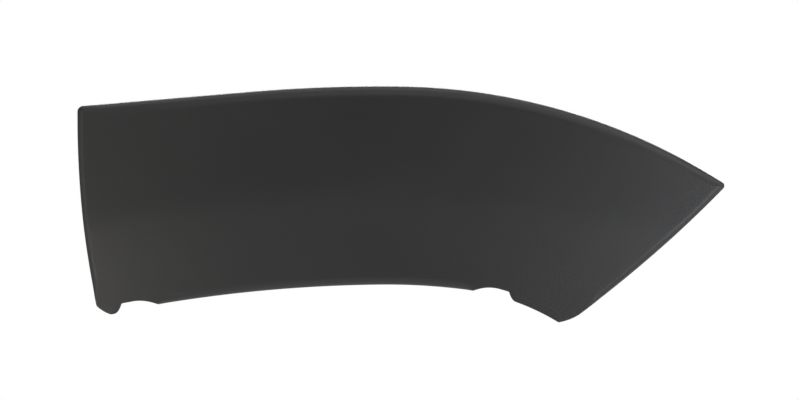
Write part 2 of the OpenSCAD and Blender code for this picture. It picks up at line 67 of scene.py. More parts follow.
GUSSET_AT, GUSSET_L, GUSSET_OUT = 14.0, 16.0, 2.0
# The skin of the render lies this far inside the outline and the face of the source.
SKIN, FACE_SKIN = 0.04, 0.09
# Rims are rounded by this radius. The middle of a small round lies this share of it inwards.
RIM_ROUND, ROUND_MID = 0.3, 0.29
# What is set on to the back is sunk this far into it, and a turned tip ends at this radius.
SUNK, TINY = 0.2, 0.02


# The outline, seen from outside: x to the right and z up
# In it k is the number of an edge, s a distance along it, p a place and h a heading.


def unit(h):
    """One step along a heading."""
    return np.array([math.cos(h), math.sin(h)])


def inward(h):
    """One step into the outline, to the right of a heading along it."""
    return np.array([math.sin(h), -math.cos(h)])


def smooth(t):
    """A step from 0 to 1 that is soft at both its ends."""
    u = min(max(t, 0.0), 1.0)
    return u * u * (3 - 2 * u)


def soft_start(t):
    """A step from 0 to 1 that starts softly."""
    return min(max(t, 0.0), 1.0) ** 2


def soft_end(t):
    """A step from 0 to 1 that ends softly."""
    return 1 - soft_start(1 - t)


def mix(a, b, t):
    """The value at a share t of the way from a to b."""
    return a + (b - a) * t


class Edge:
    """One edge of the outline: a start, a heading, and arcs of (radius, length) that bend right."""

    def __init__(self, start, heading, arcs):
        self.start, self.heading, self.arcs = np.array(start, float), heading, arcs
        self.length = sum(length for _, length in arcs)

    def at(self, s):
        """The place and the heading at a distance along the edge."""
        p, h = self.start, self.heading
        for i, (radius, length) in enumerate(self.arcs):
            last = i == len(self.arcs) - 1 or s <= length
            turn = (s if last else length) / radius
            p, h = p + radius * (inward(h) - inward(h - turn)), h - turn
            if last:
                return p, h
            s -= length

    def backwards(self):
        """The same edge, run from its other end."""
        p, h = self.at(self.length)
        return Edge(p, h + math.pi, [(-r, length) for r, length in reversed(self.arcs)])


def bow(p, q, height):
    """One arc from p to q that bows out to the left."""
    chord = math.dist(p, q)
    radius = (chord**2 / 4 + height**2) / (2 * height)
    half = math.asin(chord / (2 * radius))
    heading = math.atan2(q[1] - p[1], q[0] - p[0])
    return Edge(p, heading + half, [(radius, 2 * half * radius)])


TOP, RIGHT, TAB, LOW, FOOT, LEFT = range(6)
STRAIGHT = 1e5
LEFT_BOW, RIGHT_BOW, CUT_BOW = 4.4, 3.1, 0.9
TAB_CUT, FOOT_CUT = (17.6, 6.5), (-12.6, 7.4)
upper = Edge((-253, 72.4), math.radians(4.7), [(STRAIGHT, 153), (1319, 128.5), (526, 293)])
lower = Edge((-223.4, -104.9), math.radians(11.6), [(1208, 232.7), (522.5, 71), (204, 86.1)])
tip = upper.at(upper.length)[0]
tab_low = lower.at(lower.length)[0]
tab_high = tab_low + TAB_CUT
foot_low = lower.start - (0, FOOT_DROP)
foot_high = foot_low + FOOT_CUT
edges = [
    upper,
    bow(tip, tab_high, RIGHT_BOW),
    bow(tab_high, tab_low, CUT_BOW),
    lower.backwards(),
    bow(foot_low, foot_high, CUT_BOW),
    bow(foot_high, upper.start, LEFT_BOW),
]
# The corner at the start of each edge: its radius, and the stretches it is split into.
corner_radii = [5, 3.4, 8, 2.2, 4, 4]
corner_splits = [10, 10, 4, 10, 10, 4]
CUT_SPLITS, BEND_SPLITS, CORNER_SPLITS = 4, 4, 10
END_SPLITS, FADE_SPLITS = 26, 8
# Inner layers keep their rolls and corners from folding over by these, in millimetres.
LEAST_ROLL, CORNER_SLACK = 0.8, 1.5
# Where the face starts behind the outline, and what its corners take from its edges.
FACE_MARGIN, PLAIN_INSET, LOW_CUT, END_CUT = 1.2, 5.5, 2.5, 6.0


def dip(s):
    """How far the lower edge is drawn in by the two notches, s from the foot."""
    return (
        NOTCH * soft_start((s - FOOT_W) / STEP_L) * soft_end((LEFT_DIP_TO - s) / RUN_L)
        + NOTCH * soft_end((s - RIGHT_NOTCH_AT) / RUN_L) * soft_start((RIGHT_DIP_TO - s) / STEP_L)
        - FOOT_DROP * (1 - soft_start((s - FOOT_W) / STEP_L))
    )


def lip_share(s):
    """How much of the rolled lip there is, s from the foot: all of it between the notches."""
    return smooth((s - LEFT_DIP_TO + LIP_REACH) / FADE) * smooth(
        (RIGHT_NOTCH_AT + LIP_REACH - s) / FADE
    )


class Section:
    """The section of the moulding at a place along one edge."""

    def __init__(self, k, s):
        span = edges[k].length
        self.share = {
            TOP: 1.0,
            RIGHT: smooth((span - s - FADE) / FADE),
            LEFT: smooth((s - FADE / 2) / FADE),
            LOW: lip_share(span - s),
        }.get(k, 0.0)
        near_start, near_end = smooth(s / ROLL_BLEND), smooth((span - s) / ROLL_BLEND)
        roll = {
            TOP: mix(CORNER_ROLL, TOP_ROLL, near_start * near_end),
            RIGHT: mix(CORNER_ROLL, END_ROLL, near_start),
            LEFT: mix(CORNER_ROLL, END_ROLL, near_end),
        }.get(k, LIP_ROLL)
        self.roll = mix(PLAIN_EDGE, roll, self.share)
        on_flange = k == LOW
        self.lean = FLANGE_LEAN if on_flange else -WALL_DRAFT
        self.reach = FLANGE_REACH if on_flange else 0.0
        self.end_t = mix(WALL / 3, WALL if on_flange else RIM_T, self.share)
        if on_flange:
            self.face_inset = max(LIP_ROLL, NOTCH + WALL) + FACE_MARGIN
        else:
            grown = {RIGHT: near_end, LEFT: near_start}.get(k, 1.0)
            self.face_inset = mix(PLAIN_INSET, max(TOP_ROLL, END_ROLL) + FACE_MARGIN, grown)


class Layer:
    """A line that runs all round the moulding: on a rim, round a roll, or on the face."""

    def __init__(self, kind, inside=0, angle=90.0, across=0.0, back=0.0):
        self.kind, self.inside, self.angle = kind, inside, math.radians(angle)
        self.across, self.back = across, back

    def roll(self, section):
        """The radius of the roll in this layer."""
        return section.roll if not self.inside else max(section.roll - WALL, LEAST_ROLL)

    def inset(self, section):
        """How far the layer lies inside the outline."""
        if self.kind == "face":
            return section.face_inset
        if self.kind == "rim":
            return section.share * section.lean + self.inside * section.end_t + self.across
        under = self.inside * mix(WALL * 2 / 3, WALL, section.share)
        return under + self.roll(section) * (1 - math.cos(self.angle))

    def depth(self, section):
        """What draws a point's depth: how far it lies behind the face, how far past the panel,
        and the share of the second."""
        if self.kind == "rim":
            return WALL - self.back, section.reach - self.back, section.share
        grown = section.share if self.inside else 1.0
        behind = grown * self.roll(section) * (1 - math.sin(self.angle))
        return self.inside * WALL + behind, 0.0, 0.0


def place(layer, k, s):
    """Where a layer passes a place along one edge."""
    p, h = edges[k].at(s)
    drawn_in = dip(edges[k].length - s) if k == LOW and layer.kind != "face" else 0.0
    return p + inward(h) * (layer.inset(Section(k, s)) + drawn_in + SKIN)


def point(layer, k, s, p=None):
    """The place of a point, or the one that is given, and what draws its depth."""
    return [*(place(layer, k, s) if p is None else p), *layer.depth(Section(k, s))]


def turn_between(h, g):
    """How far heading h has to turn right to become heading g."""
    return (h - g + math.pi) % (2 * math.pi) - math.pi


def corner_cut(layer, k):
    """Length that the corner at the start of edge k takes from both its edges."""
    if layer.kind == "face" and k in (LOW, FOOT):
        return LOW_CUT
    if layer.kind == "face" and k in (TAB, LEFT):
        return END_CUT
    before = edges[k - 1]
    turn = turn_between(before.at(before.length)[1], edges[k].heading)
    radius = max(corner_radii[k], layer.inset(Section(k, 0)) + CORNER_SLACK)
    return radius * math.tan(turn / 2)


def ends_of(layer, k):
    """Where a layer leaves the corner before an edge and meets the one behind it."""
    return corner_cut(layer, k), edges[k].length - corner_cut(layer, (k + 1) % len(edges))


def edge_line(layer, k, shares):
    """Points of a layer along one edge, at shares of its run."""
    first, last = ends_of(layer, k)
    return [point(layer, k, mix(first, last, t)) for t in shares]


def corner_line(layer, j, k, n):
    """Points on a cubic curve that leaves edge j and meets edge k smoothly."""
    s1, s2 = ends_of(layer, j)[1], ends_of(layer, k)[0]
    p1, p2 = place(layer, j, s1), place(layer, k, s2)
    h1, h2 = edges[j].at(s1)[1], edges[k].at(s2)[1]
    turn = turn_between(h1, h2)
    arm = math.dist(p1, p2) / (2 * math.sin(turn / 2)) * 4 / 3 * math.tan(turn / 4)
    pulls = [p1, p1 + arm * unit(h1), p2 - arm * unit(h2), p2]
    line = []
    for i in range(1, n):
        t = i / n
        weights = [(1 - t) ** 3, 3 * (1 - t) ** 2 * t, 3 * (1 - t) * t * t, t**3]
        line.append(point(layer, k, 0, sum(w * q for w, q in zip(weights, pulls))))
    return line


def cut_line(layer, j, cut, k):
    """A slanted cut and the corners at both its ends. On the face it is one wide corner."""
    if layer.kind == "face":
        return corner_line(layer, j, k, BEND_SPLITS + CUT_SPLITS + CORNER_SPLITS)
    return [
        *corner_line(layer, j, cut, corner_splits[cut]),
        *edge_line(layer, cut, np.linspace(0, 1, CUT_SPLITS + 1)),
        *corner_line(layer, cut, k, corner_splits[k]),
    ]


def shares_of(line):
    """How far along a line each of its points lies, from 0 to 1."""
    xz = np.array(line)[:, :2]
    run = np.concatenate([[0], np.cumsum(np.linalg.norm(np.diff(xz, axis=0), axis=1))])
    return run / run[-1]


def low_shares():
    """Shares along the lower edge from tab to foot, close together at the notches."""
    stretches = [
        (lower.length - RIGHT_DIP_TO, 10),
        (STEP_L, 12),
        (RIGHT_FLOOR, 5),
        (RUN_L - LIP_REACH, 10),
        (LIP_REACH, 5),
        (FADE, 8),
        (RIGHT_NOTCH_AT - LEFT_DIP_TO - 2 * FADE, 52),
        (FADE, 8),
        (LIP_REACH, 5),
        (RUN_L - LIP_REACH, 10),
        (LEFT_FLOOR, 5),
        (STEP_L, 12),
        (FOOT_W, 3),
    ]
    shares, done = [0.0], 0.0
    for length, n in stretches:
        shares += [(done + length * i / n) / lower.length for i in range(1, n + 1)]
        done += length
    return shares


def end_shares():
    """Shares along the slanted right end, close together where its wall fades out."""
    fading = 2 * FADE / edges[RIGHT].length
    walled = [(1 - fading) * i / END_SPLITS for i in range(END_SPLITS)]
    return walled + [1 - fading * (1 - i / FADE_SPLITS) for i in range(FADE_SPLITS + 1)]


LOW_SHARES, END_SHARES = low_shares(), end_shares()
START_SHARES = [1 - t for t in reversed(END_SHARES)]
ACROSS = len(LOW_SHARES) - 1 + 2 * CORNER_SPLITS + CUT_SPLITS
DOWN = len(END_SHARES) - 1 + BEND_SPLITS + CORNER_SPLITS // 2 + CUT_SPLITS // 2
AROUND = 2 * (ACROSS + DOWN)


def top_shares():
    """Shares along the upper edge, taken from the lower side of the face so that the net
    runs square."""
    layer = Layer("face")
    line = [
        *cut_line(layer, RIGHT, TAB, LOW),
        *edge_line(layer, LOW, LOW_SHARES),
        *cut_line(layer, LOW, FOOT, LEFT),
    ]
    first = BEND_SPLITS - 1 + CUT_SPLITS // 2
    from_mid = line[first : first + ACROSS + 1]
    half = CORNER_SPLITS // 2
    return shares_of(from_mid[ACROSS - half : half - 1 : -1])


TOP_SHARES = top_shares()


def ring(layer):
    """A layer all the way round, from the middle of the corner at the top left."""
    first = corner_line(layer, LEFT, TOP, CORNER_SPLITS)
    half = CORNER_SPLITS // 2
    return np.array([
        *first[half - 1 :],
        *edge_line(layer, TOP, TOP_SHARES),
        *corner_line(layer, TOP, RIGHT, CORNER_SPLITS),
        *edge_line(layer, RIGHT, END_SHARES),
        *cut_line(layer, RIGHT, TAB, LOW),
        *edge_line(layer, LOW, LOW_SHARES),
        *cut_line(layer, LOW, FOOT, LEFT),
        *edge_line(layer, LEFT, START_SHARES),
        *first[: half - 1],
    ])


def net(rim):
    """Rows of points that fill the inside of a ring, each row from left to right."""
    top, right = rim[: ACROSS + 1], rim[ACROSS : ACROSS + DOWN + 1]
    low = rim[ACROSS + DOWN : 2 * ACROSS + DOWN + 1][::-1]
    left = np.concatenate([rim[2 * ACROSS + DOWN :], rim[:1]])[::-1]
    us, vs = (shares_of(top) + shares_of(low)) / 2, (shares_of(left) + shares_of(right)) / 2
    u, v = us[None, :, None], vs[:, None, None]
    corners = mix(mix(top[0], top[-1], u), mix(low[0], low[-1], u), v)
    return mix(top[None], low[None], v) + mix(left[:, None], right[:, None], u) - corners


# Meshes whose points carry how deep they are drawn


class Net:
    """Collects points and faces. A point is x, y, z, the draw (behind face, past panel, share,
    drawn or fixed), in millimetres, and whether it is on the grained outside."""

    def __init__(self):
        self.points, self.draws, self.outside, self.faces = [], [], [], []

    def add(self, xyz, draw=(0, 0, 0, 0), outside=0):
        self.points.append([c / MM_PER_METRE for c in xyz])
        self.draws.append(draw)
        self.outside.append(outside)
        return len(self.points) - 1

    def face(self, *corners):
        self.faces.append(corners)

    def band(self, a, b):
        """Joins two closed lines of as many points."""
        n = len(a)
        for i in range(n):
            j = (i + 1) % n
            self.face(a[i], a[j], b[j], b[i])

    def make(self, name):
        """The mesh in metres, as an object of the scene."""
        mesh = bpy.data.meshes.new(name)
        mesh.from_pydata(self.points, [], self.faces)
        for i, key in enumerate(("behind_face", "past_panel", "wall_share", "drawn")):
            scale = MM_PER_METRE if i < 2 else 1
            values = [d[i] / scale for d in self.draws]
            mesh.attributes.new(key, "FLOAT", "POINT").data.foreach_set("value", values)
        mesh.attributes.new("outside", "FLOAT", "POINT").data.foreach_set("value", self.outside)
        return made_object(name, mesh)


def made_object(name, mesh):
    """A new object of the scene with this mesh."""
    thing = bpy.data.objects.new(name, mesh)
    bpy.context.scene.collection.objects.link(thing)
    return thing


def shell_net():
    """The moulded shell: face, rolled edges, walls and the flange of the wheel opening."""
    shell = Net()
    outer_roll, inner_roll, face_rows = 12, 6, 3
    rings = []

    def faces_between(inside):
        """Lines from the end of the roll to the start of the face's net."""
        start, end = ring(Layer("roll", inside, 90)), ring(Layer("face", inside))
        start[:, 2], end[:, 2] = inside * WALL, inside * WALL
        return [(mix(start, end, i / face_rows), 1 - inside) for i in range(1, face_rows + 1)]

    outer_face = faces_between(0)
    rings += list(reversed(outer_face))
    rings += [(ring(Layer("roll", 0, 90 * i / outer_roll)), 1) for i in range(outer_roll, -1, -1)]
    r, mid = RIM_ROUND, ROUND_MID * RIM_ROUND
    for inside, across, back in (
        (0, 0, r), (0, mid, mid), (0, r, 0), (1, -r, 0), (1, -mid, mid), (1, 0, r),
    ):
        rings.append((ring(Layer("rim", inside, across=across, back=back)), 1 - inside))
    rings += [(ring(Layer("roll", 1, 90 * i / inner_roll)), 0) for i in range(inner_roll + 1)]
    inner_face = faces_between(1)
    rings += inner_face
    lines = [
        [shell.add((x, 0, z), (a, c, share, 1), out) for x, z, a, c, share in line]
        for line, out in rings
    ]
    for a, b in zip(lines, lines[1:]):
        shell.band(a, b)
    for line, (rim, out), flip in ((lines[0], rings[0], False), (lines[-1], rings[-1], True)):
        rows = net(rim)
        grid = [line[: ACROSS + 1]]
        for j in range(1, DOWN):
            inner = [
                shell.add((p[0], 0, p[1]), (p[2], 0, 0, 1), out) for p in rows[j][1:ACROSS]
            ]
            grid.append([line[AROUND - j], *inner, line[ACROSS + j]])
        grid.append([line[2 * ACROSS + DOWN - i] for i in range(ACROSS + 1)])
        for up, down in zip(grid, grid[1:]):
            for i in range(ACROSS):
                quad = (up[i], down[i], down[i + 1], up[i + 1])
                shell.face(*(reversed(quad) if flip else quad))
    return shell


def web(piece, start, heading, span, tops, foot=None, thick=RIB_T):
    """Adds an upright web that grows out of the face. start is its place in the piece's own
    X and Z, tops holds (height or None, draw) for each station, foot gives the draw of its foot."""
    foot = foot or (lambda d: (WALL / 2, 0, 0, 1))
    n, soft = len(tops) - 1, 0.3
    along, side = unit(heading), unit(heading + math.pi / 2)
    stations = []
    for i, (height, draw) in enumerate(tops):
        d = span * i / n
        line = []
        for across, lift in (
            (-thick / 2, None), (-thick / 2, soft), (-thick / 2 + soft, 0),
            (thick / 2 - soft, 0), (thick / 2, soft), (thick / 2, None),
        ):
            x, z = np.array(start) + along * d + side * across
            if lift is None:
                line.append(piece.add((x, 0, z), foot(d)))
            elif draw is None:
                line.append(piece.add((x, height - lift, z)))
            else:
                line.append(piece.add((x, 0, z), (draw[0] - lift, draw[1] - lift, draw[2], 1)))
        stations.append(line)
    for a, b in zip(stations, stations[1:]):
        piece.band(a, b)
    piece.face(*stations[0])
    piece.face(*reversed(stations[-1]))


def lathe(piece, profile, splits=40, axis="y"):
    """Adds a turned form. profile holds (radius, height, draw) from its foot, where a draw
    ties a line to the face."""
    lines = []
    for radius, height, draw in profile:
        line = []
        for i in range(splits):
            x, z = radius * unit(2 * math.pi * i / splits)
            xyz = (x, height, z) if axis == "y" else (x, z, height)
            line.append(piece.add(xyz, draw or (0, 0, 0, 0)))
        lines.append(line)
    for a, b in zip(lines, lines[1:]):
        piece.band(a, b)
    if axis == "y":
        piece.face(*reversed(lines[0]))
        piece.face(*lines[-1])
    return lines


def clip_tower():
    """Three walls and a keyhole plate. Its own Y is 0 at the seat of the clip."""
    piece = Net()
    stations, seat_splits, soft = 5, 32, 0.25
    reach = (TOWER_W - TOWER_WALL) / 2
    tops = [(-PLATE_T / 2, None)] * stations
    for x in (-reach, reach):
        web(piece, (x, -TOWER_D / 2), math.pi / 2, TOWER_D, tops, thick=TOWER_WALL)
    z = (TOWER_D - TOWER_WALL) / 2 - TOWER_STEP
    web(piece, (-reach, z), 0, 2 * reach, tops, thick=TOWER_WALL)
    half_w, half_d = TOWER_W / 2 + PLATE_LIP, TOWER_D / 2 + PLATE_LIP
    neck, radius = CLIP_NECK / 2, CLIP_HOLE / 2
    cut_start, funnel = 1.0, TOWER_D / 4
    neck_z = -half_d - cut_start + funnel
    mouth = mix(CLIP_MOUTH / 2, neck, cut_start / funnel)
    start = math.asin(neck / radius)
    seat = []
    for i in range(seat_splits + 1):
        a = -math.pi / 2 - start - (2 * math.pi - 2 * start) * i / seat_splits
        seat.append((radius * math.cos(a), radius * math.sin(a)))
    outline = [
        (-mouth, -half_d), (-neck, neck_z), *seat, (neck, neck_z), (mouth, -half_d),
        (half_w, -half_d), (half_w, half_d), (-half_w, half_d), (-half_w, -half_d),
    ]
    loops = []
    for height, drawn_in in ((-PLATE_T, soft), (-PLATE_T + soft, 0), (-soft, 0), (0, soft)):
        line = []
        for i, here in enumerate(outline):
            one = np.subtract(here, outline[i - 1])
            two = np.subtract(outline[(i + 1) % len(outline)], here)
            one, two = one / np.linalg.norm(one), two / np.linalg.norm(two)
            out = np.array([one[1] + two[1], -one[0] - two[0]]) / (1 + one @ two)
            x, z = here - drawn_in * out
            line.append(piece.add((x, height, z)))
        loops.append(line)
    for a, b in zip(loops, loops[1:]):
        piece.band(a, b)
    piece.face(*loops[0])
    piece.face(*reversed(loops[-1]))
    return piece


def locating_pin():
    """A pin on a boss with four fins. Its own Y is 0 at the body panel."""
    piece = Net()
    boss, pin, tip_r = BOSS_D / 2, PIN_D / 2, PIN_D / 2 - PIN_CONE / 2
    cone_at = PIN_REACH - PIN_CONE
    soft, soft_mid, tip_soft = 0.4, 0.12, 0.3
    lathe(piece, [
        (boss, 0, (WALL / 2, 0, 0, 1)),
        (boss, -BOSS_GAP - soft, None),
        (boss - soft_mid, -BOSS_GAP - soft_mid, None),
        (boss - soft, -BOSS_GAP, None),
        (pin + soft, -BOSS_GAP, None),
        (pin + soft_mid, -BOSS_GAP + soft_mid, None),
        (pin, -BOSS_GAP + soft, None),
        (pin, cone_at - soft / 2, None),
        (pin - soft_mid / 2, cone_at, None),
        (tip_r + soft_mid, PIN_REACH - tip_soft, None),
        (tip_r - tip_soft, PIN_REACH - TINY, None),
        (TINY, PIN_REACH - TINY, None),
    ])
    low = (WALL / 2 + RIB_H, 0, 0)
    for i in range(4):
        tops = [(-BOSS_GAP - FUSE, None), (-BOSS_GAP - FUSE, None), (None, low)]
        web(piece, (0, 0), math.pi / 4 + i * math.pi / 2, boss + FIN_L, tops)
    return piece


def lip_rise(d):
    """How far the rolled lip lies behind the face at a distance from the outline."""
    return 0.0 if d >= LIP_ROLL else LIP_ROLL - math.sqrt(LIP_ROLL**2 - (LIP_ROLL - d) ** 2)


def flange_gusset():
    """A gusset between flange and face. It runs along its own X, away from the opening."""
    piece = Net()
    n = 10
    tops = [(None, (WALL + FUSE, GUSSET_OUT, 1 - i / n)) for i in range(n + 1)]

    def foot(d):
        return WALL / 2 + lip_rise(WALL / 2 + d), 0, 0, 1

    web(piece, (0, 0), 0, GUSSET_L, tops, foot)
    return piece


def cross_rib():
    """A low rib, one millimetre long: each is stretched to its own length along X."""
    piece = Net()
    n = 24
    low, high = (WALL - FUSE, 0, 0), (WALL + RIB_H, 0, 0)
    tops = [(None, low), *[(None, high)] * (n - 1), (None, low)]
    web(piece, (0, 0), 0, 1.0, tops)
    return piece


def screw_pad():
    """The raised ring that backs a screw hole. Its own Z is square to the flange."""
    piece = Net()
    hole, rim, low, high, r = SCREW_D / 2, PAD_D / 2, WALL - SUNK, WALL + PAD_H, 0.3
    mid = ROUND_MID * r
    lines = lathe(piece, [
        (hole, low, None), (rim, low, None), (rim, high - r, None), (rim - mid, high - mid, None),
        (rim - r, high, None), (hole + r, high, None), (hole + mid, high - mid, None),
        (hole, high - r, None),
    ], axis="z")
    piece.band(lines[-1], lines[0])
    return piece


def ejector_mark():
    """The faint raised disc that an ejector pin leaves on the back."""
    piece = Net()
    radius, rise, soft = 3.0, 0.14, 0.05
    lathe(piece, [
        (radius, 0, (WALL - SUNK, 0, 0, 1)),
        (radius, 0, (WALL + rise - soft, 0, 0, 1)),
        (radius - 2 * soft, 0, (WALL + rise, 0, 0, 1)),
        (TINY, 0, (WALL + rise, 0, 0, 1)),
    ], splits=28)
    return piece


# Geometry Nodes: the rule of the face, and what is moulded on to it


class Tree:
    """A node tree that is built line by line."""

    def __init__(self, kind, name):
        self.tree = bpy.data.node_groups.new(name, kind)
        self.given = self.tree.nodes.new("NodeGroupInput")
        self.out = self.tree.nodes.new("NodeGroupOutput")

    def takes(self, name, kind, default=None):
        """Adds a named input and gives its socket."""
        socket = self.tree.interface.new_socket(name, in_out="INPUT", socket_type=kind)
        if default is not None:
            socket.default_value = default
        return self.given.outputs[name]

    def gives(self, name, kind, value):
        """Puts a value out under a name."""
        self.tree.interface.new_socket(name, in_out="OUTPUT", socket_type=kind)
        self.tree.links.new(value, self.out.inputs[name])

    def node(self, kind, inputs=(), **settings):
        """Adds a node, and links or sets each of its inputs."""
        node = self.tree.nodes.new(kind)
        for key, value in settings.items():
            setattr(node, key, value)
        for socket, value in dict(inputs).items():
            if isinstance(value, bpy.types.NodeSocket):
                self.tree.links.new(value, node.inputs[socket])
            else:
                node.inputs[socket].default_value = value
        return node

    def maths(self, operation, *values):
        """What comes out of a maths node."""
        node = self.node("ShaderNodeMath", dict(enumerate(values)), operation=operation)
        return node.outputs[0]


def face_rule():
    """The rule of the face: where the panel and the face lie at a place, seen from outside."""
    t = Tree("GeometryNodeTree", "Rule of the face")
    x = t.takes("X", "NodeSocketFloat")
    z = t.takes("Z", "NodeSocketFloat")
    sizes = {}
    for name, size in FACE.items():
        size = math.radians(size) if name == "Flank angle" else size / MM_PER_METRE
        sizes[name] = t.takes(name, "NodeSocketFloat", size)

    def squared(value):
        return t.maths("MULTIPLY", value, value)

    def arc(radius, along):
        """How far an arc has fallen at a distance along it from its top."""
        height = t.maths("SQRT", t.maths("SUBTRACT", squared(radius), squared(along)))
        return t.maths("SUBTRACT", radius, height)

    panel = arc(sizes["Sweep radius"], x)
    fall = arc(sizes["Ridge line radius"], t.maths("SUBTRACT", x, sizes["Ridge middle"]))
    from_ridge = t.maths("ADD", t.maths("SUBTRACT", z, sizes["Ridge top"]), fall)
    slope = t.maths("TANGENT", sizes["Flank angle"])
    rounding = t.maths("MULTIPLY", sizes["Ridge rounding"], squared(slope))
    flank = t.maths("MULTIPLY", slope, from_ridge)
    bend = t.maths("SQRT", t.maths("ADD", squared(rounding), squared(flank)))
    rise = t.maths("SUBTRACT", bend, rounding)
    face = t.maths("ADD", t.maths("SUBTRACT", panel, sizes["Stand-off"]), rise)
    t.gives("Panel", "NodeSocketFloat", panel)
    t.gives("Face", "NodeSocketFloat", t.maths("ADD", face, FACE_SKIN / MM_PER_METRE))
    return t.tree


FACE_RULE = face_rule()


def attribute(t, name, kind="FLOAT"):
    """What the points carry under a name."""
    node = t.node("GeometryNodeInputNamedAttribute", {"Name": name}, data_type=kind)
    return node.outputs["Attribute"]


def drawn_to_face(t, geometry):
    """Moves the points that are to be drawn to their depth under the rule of the face."""
    here = t.node("GeometryNodeInputPosition").outputs[0]
    xyz = t.node("ShaderNodeSeparateXYZ", {0: here}).outputs
    rule = t.node("GeometryNodeGroup", {"X": xyz["X"], "Z": xyz["Z"]}, node_tree=FACE_RULE)
    behind = t.maths("ADD", rule.outputs["Face"], attribute(t, "behind_face"))
    past = t.maths("ADD", rule.outputs["Panel"], attribute(t, "past_panel"))
    share = attribute(t, "wall_share")
    deep = t.maths("ADD", behind, t.maths("MULTIPLY", share, t.maths("SUBTRACT", past, behind)))
    there = t.node("ShaderNodeCombineXYZ", {"X": xyz["X"], "Y": deep, "Z": xyz["Z"]})
    drawn = t.maths("GREATER_THAN", attribute(t, "drawn"), 0.5)
    moved = t.node("GeometryNodeSetPosition", {
        "Geometry": geometry, "Selection": drawn, "Position": there.outputs[0],
    })
    return moved.outputs[0]


def finished_in(t, geometry):
    """Gives the outside its grain and the back its plain finish."""
    back = t.takes("Back", "NodeSocketMaterial")
    front = t.takes("Outside", "NodeSocketMaterial")
    plain = t.node("GeometryNodeSetMaterial", {"Geometry": geometry, "Material": back})
    outside = t.maths("GREATER_THAN", attribute(t, "outside"), 0.5)
    both = t.node("GeometryNodeSetMaterial", {
        "Geometry": plain.outputs[0], "Selection": outside, "Material": front,
    })
    t.gives("Geometry", "NodeSocketGeometry", both.outputs[0])
    return t.tree


def shell_tree():
    """Draws the shell to the face."""
    t = Tree("GeometryNodeTree", "Shell drawn to the face")
    geometry = t.takes("Geometry", "NodeSocketGeometry")
    return finished_in(t, drawn_to_face(t, geometry))


def fixing_tree():
    """Sets a piece at each point, turned and stretched as the point says, and draws it to
    the face."""
    t = Tree("GeometryNodeTree", "Fixings on the back")
    places = t.takes("Geometry", "NodeSocketGeometry")
    piece = t.takes("Piece", "NodeSocketObject")
    info = t.node("GeometryNodeObjectInfo", {"Object": piece})
    turned = t.node("FunctionNodeEulerToRotation", {0: attribute(t, "turn", "FLOAT_VECTOR")})
    stretch = t.node("ShaderNodeCombineXYZ", {"X": attribute(t, "stretch"), "Y": 1.0, "Z": 1.0})
    set_out = t.node("GeometryNodeInstanceOnPoints", {
        "Points": places, "Instance": info.outputs["Geometry"],
        "Rotation": turned.outputs[0], "Scale": stretch.outputs[0],
    })
    real = t.node("GeometryNodeRealizeInstances", {"Geometry": set_out.outputs[0]})
    return finished_in(t, drawn_to_face(t, real.outputs[0]))


# Finishes


def grain_group():
    """Fine grain of a moulded surface, as a height for a bump."""
    t = Tree("ShaderNodeTree", "Moulded grain")
    size = t.takes("Cell size", "NodeSocketFloat", 0.0006)
    softness = t.takes("Softness", "NodeSocketFloat", 0.5)
    here = t.node("ShaderNodeTexCoord").outputs["Object"]
    per_metre = t.maths("DIVIDE", 1.0, size)
    cells = t.node("ShaderNodeTexVoronoi", {
        "Vector": here, "Scale": per_metre, "Smoothness": softness,
    }, feature="SMOOTH_F1")
    coarser = t.maths("MULTIPLY", per_metre, 0.35)
    clumps = t.node("ShaderNodeTexNoise", {"Vector": here, "Scale": coarser, "Detail": 3.0})
    uneven = t.maths("MULTIPLY", clumps.outputs["Fac"], 0.8)
    height = t.maths("ADD", cells.outputs["Distance"], uneven)
    t.gives("Height", "NodeSocketFloat", height)
    return t.tree


def flow_group():
    """Slow changes that moulding and handling leave: a faint cloud of gloss and of tone."""
    t = Tree("ShaderNodeTree", "Moulding flow")
    length = t.takes("Length", "NodeSocketFloat", 0.09)
    contrast = t.takes("Contrast", "NodeSocketFloat", 1.0)
    here = t.node("ShaderNodeTexCoord").outputs["Object"]
    stretched = t.node("ShaderNodeMapping", {"Vector": here, "Scale": (0.45, 1.0, 1.0)})
    per_metre = t.maths("DIVIDE", 1.0, length)
    slow = t.node("ShaderNodeTexNoise", {
        "Vector": stretched.outputs[0], "Scale": per_metre, "Detail": 4.0, "Roughness": 0.55,
    })
    centred = t.maths("MULTIPLY", t.maths("SUBTRACT", slow.outputs["Fac"], 0.5), contrast)
    t.gives("Cloud", "NodeSocketFloat", centred)
    return t.tree


GRAIN, FLOW = grain_group(), flow_group()
# How far the cloud takes tone and gloss to both sides, and the depth of the grain in metres.
TONE_SWING, GLOSS_SWING, GRAIN_DEPTH = 0.14, 0.06, 0.00012


def swung(tree, cloud, middle, swing):
    """The cloud, which runs from -0.5 to 0.5, as a value around a middle one."""
    node = tree.nodes.new("ShaderNodeMapRange")
    ends = {
        "From Min": -0.5, "From Max": 0.5,
        "To Min": middle - swing, "To Max": middle + swing,
    }
    for socket, value in ends.items():
        node.inputs[socket].default_value = value
    tree.links.new(cloud, node.inputs["Value"])
    return node.outputs["Result"]


